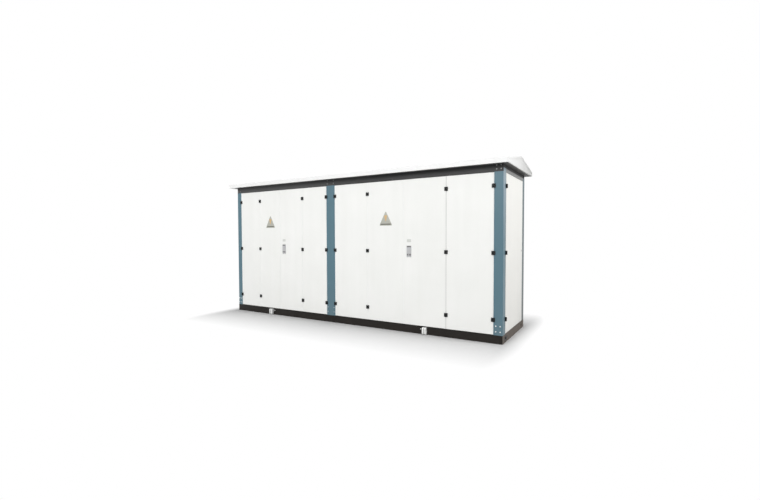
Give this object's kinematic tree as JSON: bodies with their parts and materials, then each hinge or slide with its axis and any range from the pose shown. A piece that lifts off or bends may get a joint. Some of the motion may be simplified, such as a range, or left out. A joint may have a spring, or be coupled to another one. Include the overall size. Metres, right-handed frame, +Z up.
{
  "type": "compact substation enclosure",
  "caption": "Long low steel enclosure with hinged white leaves between grey-blue posts, a dark channel base and a low gable roof.",
  "frame": {"origin": "centre of the underside, on the ground", "axes": "+X along the length, to the right as seen from the front; +Y from the front into the depth; +Z up"},
  "size_m": [5.126, 1.454, 2.4775],
  "materials": {
    "grey_paint": "satin",
    "leaf_paint": "satin",
    "roof_paint": "satin",
    "base_paint": "satin",
    "rail_paint": "satin",
    "end_rail_grey": "satin",
    "hinge_black": "satin",
    "lock_grey": "satin",
    "zinc": "galvanised"
  },
  "bodies": {
    "enclosure": {"base_frame": "base_paint", "floor_tray": "zinc", "lifting_lugs_front": "zinc", "lifting_lugs_back": "zinc", "corner_post_front_left": "grey_paint", "corner_post_front_right": "grey_paint", "corner_post_back_left": "grey_paint", "corner_post_back_right": "grey_paint", "mid_post_front": "grey_paint", "mid_post_back": "grey_paint", "top_frame": "rail_paint", "end_rails": "end_rail_grey", "head_stops": "rail_paint", "ceiling_panel": "rail_paint", "roof_ribs": "rail_paint", "roof_front_slope": "roof_paint", "roof_back_slope": "roof_paint", "gable_left": "roof_paint", "gable_right": "roof_paint", "back_left_leaves": "leaf_paint", "back_right_leaves": "leaf_paint", "left_end_leaf": "leaf_paint", "post_hinge_halves": "hinge_black", "fixed_hinges": "hinge_black", "fixed_locks": "lock_grey"},
    "front_left_leaf_1": {"front_left_leaf_1": "leaf_paint", "front_left_hinges_1": "hinge_black"},
    "front_left_leaf_2": {"front_left_leaf_2": "leaf_paint", "front_left_hinges_2": "hinge_black"},
    "front_left_leaf_3": {"front_left_leaf_3": "leaf_paint", "front_left_hinges_3": "hinge_black", "front_left_lock": "lock_grey"},
    "front_left_leaf_4": {"front_left_leaf_4": "leaf_paint", "front_left_hinges_4": "hinge_black"},
    "front_right_leaf_1": {"front_right_leaf_1": "leaf_paint", "front_right_hinges_1": "hinge_black"},
    "front_right_leaf_2": {"front_right_leaf_2": "leaf_paint", "front_right_hinges_2": "hinge_black"},
    "front_right_leaf_3": {"front_right_leaf_3": "leaf_paint", "front_right_hinges_3": "hinge_black", "front_right_lock": "lock_grey"},
    "front_right_leaf_4": {"front_right_leaf_4": "leaf_paint", "front_right_hinges_4": "hinge_black"},
    "right_end_leaf": {"right_end_leaf": "leaf_paint", "right_end_hinges": "hinge_black", "right_end_lock": "lock_grey"}
  },
  "joints": [
    {"name": "front_left_leaf_1_swing", "type": "hinge", "parent": "enclosure", "child": "front_left_leaf_1", "pos_m": [-2.371, -0.629, 1.17], "axis": [0, 0, -1], "range_deg": [0, 90]},
    {"name": "front_left_leaf_2_swing", "type": "hinge", "parent": "front_left_leaf_1", "child": "front_left_leaf_2", "pos_m": [-1.88, -0.629, 1.17], "axis": [0, 0, -1], "range_deg": [0, 180]},
    {"name": "front_left_leaf_3_swing", "type": "hinge", "parent": "front_left_leaf_4", "child": "front_left_leaf_3", "pos_m": [-0.869, -0.629, 1.17], "axis": [0, 0, 1], "range_deg": [0, 180]},
    {"name": "front_left_leaf_4_swing", "type": "hinge", "parent": "enclosure", "child": "front_left_leaf_4", "pos_m": [-0.359, -0.629, 1.17], "axis": [0, 0, 1], "range_deg": [0, 90]},
    {"name": "front_right_leaf_1_swing", "type": "hinge", "parent": "enclosure", "child": "front_right_leaf_1", "pos_m": [-0.181, -0.629, 1.17], "axis": [0, 0, -1], "range_deg": [0, 90]},
    {"name": "front_right_leaf_2_swing", "type": "hinge", "parent": "front_right_leaf_1", "child": "front_right_leaf_2", "pos_m": [0.436, -0.629, 1.17], "axis": [0, 0, -1], "range_deg": [0, 180]},
    {"name": "front_right_leaf_3_swing", "type": "hinge", "parent": "front_right_leaf_4", "child": "front_right_leaf_3", "pos_m": [1.706, -0.629, 1.17], "axis": [0, 0, 1], "range_deg": [0, 180]},
    {"name": "front_right_leaf_4_swing", "type": "hinge", "parent": "enclosure", "child": "front_right_leaf_4", "pos_m": [2.351, -0.629, 1.17], "axis": [0, 0, 1], "range_deg": [0, 90]},
    {"name": "right_end_leaf_swing", "type": "hinge", "parent": "enclosure", "child": "right_end_leaf", "pos_m": [2.489, -0.491, 1.17], "axis": [0, 0, -1], "range_deg": [0, 110]}
  ]
}
